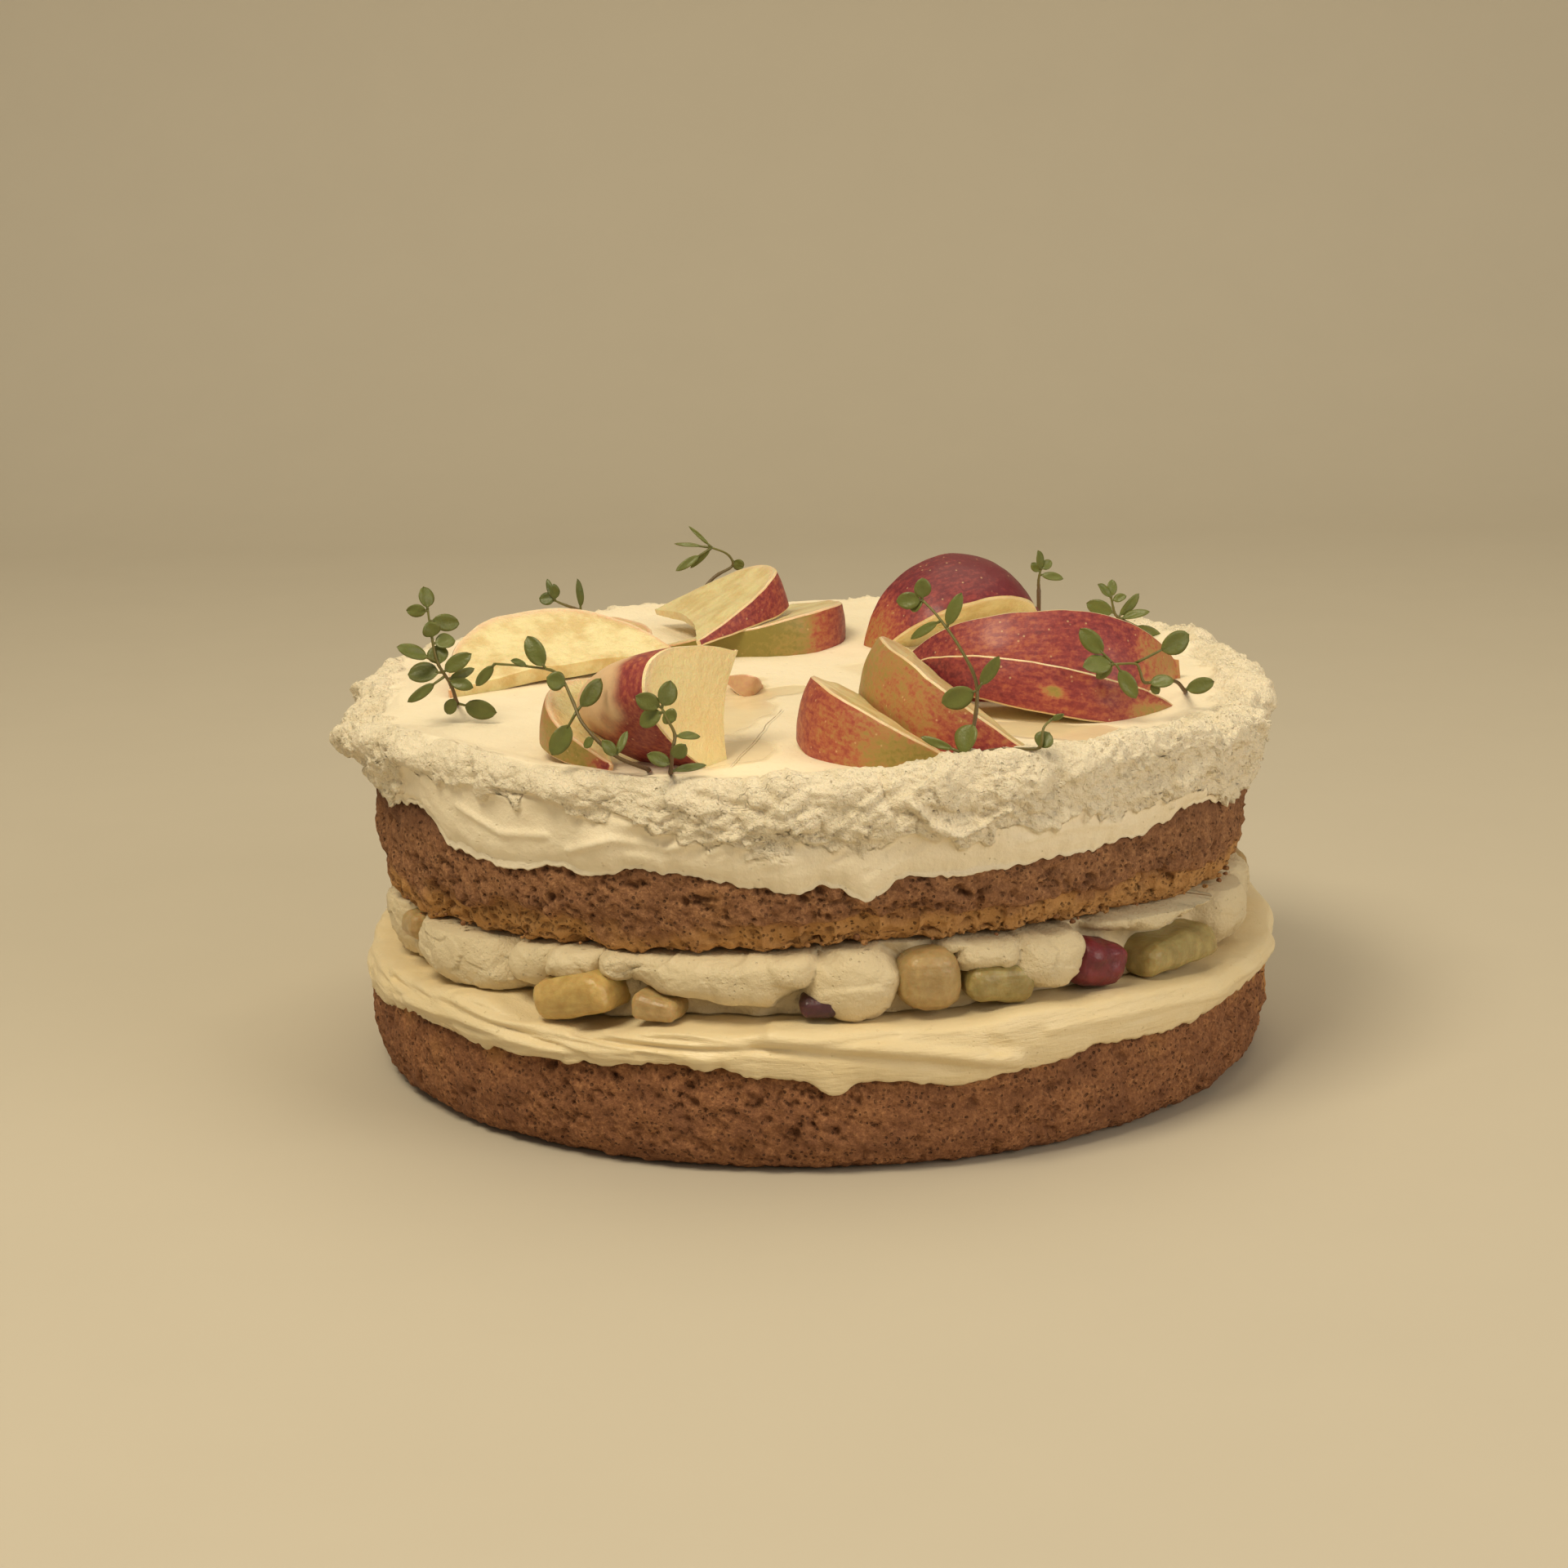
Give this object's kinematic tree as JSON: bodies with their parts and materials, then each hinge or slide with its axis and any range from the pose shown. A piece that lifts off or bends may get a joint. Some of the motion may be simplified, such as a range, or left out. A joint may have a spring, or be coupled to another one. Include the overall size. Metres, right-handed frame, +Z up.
{
  "type": "chantilly cake",
  "caption": "Uncut two-layer round sponge cake filled and topped with whipped cream and soft fruit, with apple wedges and thyme sprigs on top.",
  "frame": {"origin": "centre of the bottom sponge's flat underside, where the cake stands", "axes": "+Z up through the layers, the side seen in the source picture faces -Y"},
  "size_m": [0.2087, 0.2047, 0.1167],
  "materials": {
    "sponge": "open brown crumb, matt",
    "custard_cream": "smooth thick yellowish cream, satin",
    "whipped_cream": "whipped cream, soft and slightly grainy",
    "soft_fruit": "cooked fruit, moist",
    "red_fruit": "dark red fruit skin, moist",
    "apple": "glazed red apple skin over pale flesh",
    "thyme": "fresh green leaves, satin"
  },
  "bodies": {
    "root": {"cream_filling": "whipped_cream", "cream_lower": "custard_cream", "cream_top": "whipped_cream", "fruit_chunk_01": "soft_fruit", "fruit_chunk_02": "soft_fruit", "fruit_chunk_03": "soft_fruit", "fruit_chunk_04": "soft_fruit", "fruit_chunk_05": "red_fruit", "fruit_chunk_06": "soft_fruit", "fruit_chunk_07": "soft_fruit", "fruit_chunk_08": "red_fruit", "fruit_chunk_09": "soft_fruit", "fruit_chunk_10": "soft_fruit", "fruit_chunk_11": "soft_fruit", "fruit_chunk_12": "soft_fruit", "fruit_chunk_13": "red_fruit", "fruit_chunk_14": "soft_fruit", "fruit_chunk_15": "soft_fruit", "sponge_bottom": "sponge", "sponge_top": "sponge", "thyme_arching": "thyme", "thyme_back_high": "thyme", "thyme_back_left": "thyme", "thyme_back_right": "thyme", "thyme_front_curl": "thyme", "thyme_front_small": "thyme", "thyme_right": "thyme", "thyme_right_star": "thyme", "thyme_tall": "thyme", "thyme_upright": "thyme", "wedge_back_low": "apple", "wedge_back_upright": "apple", "wedge_dome": "apple", "wedge_front_red": "apple", "wedge_front_tall": "apple", "wedge_left_behind": "apple", "wedge_left_flat": "apple", "wedge_left_long": "apple", "wedge_left_red": "apple", "wedge_red_front": "apple", "wedge_red_upper": "apple", "wedge_small_end": "apple"}
  },
  "joints": []
}
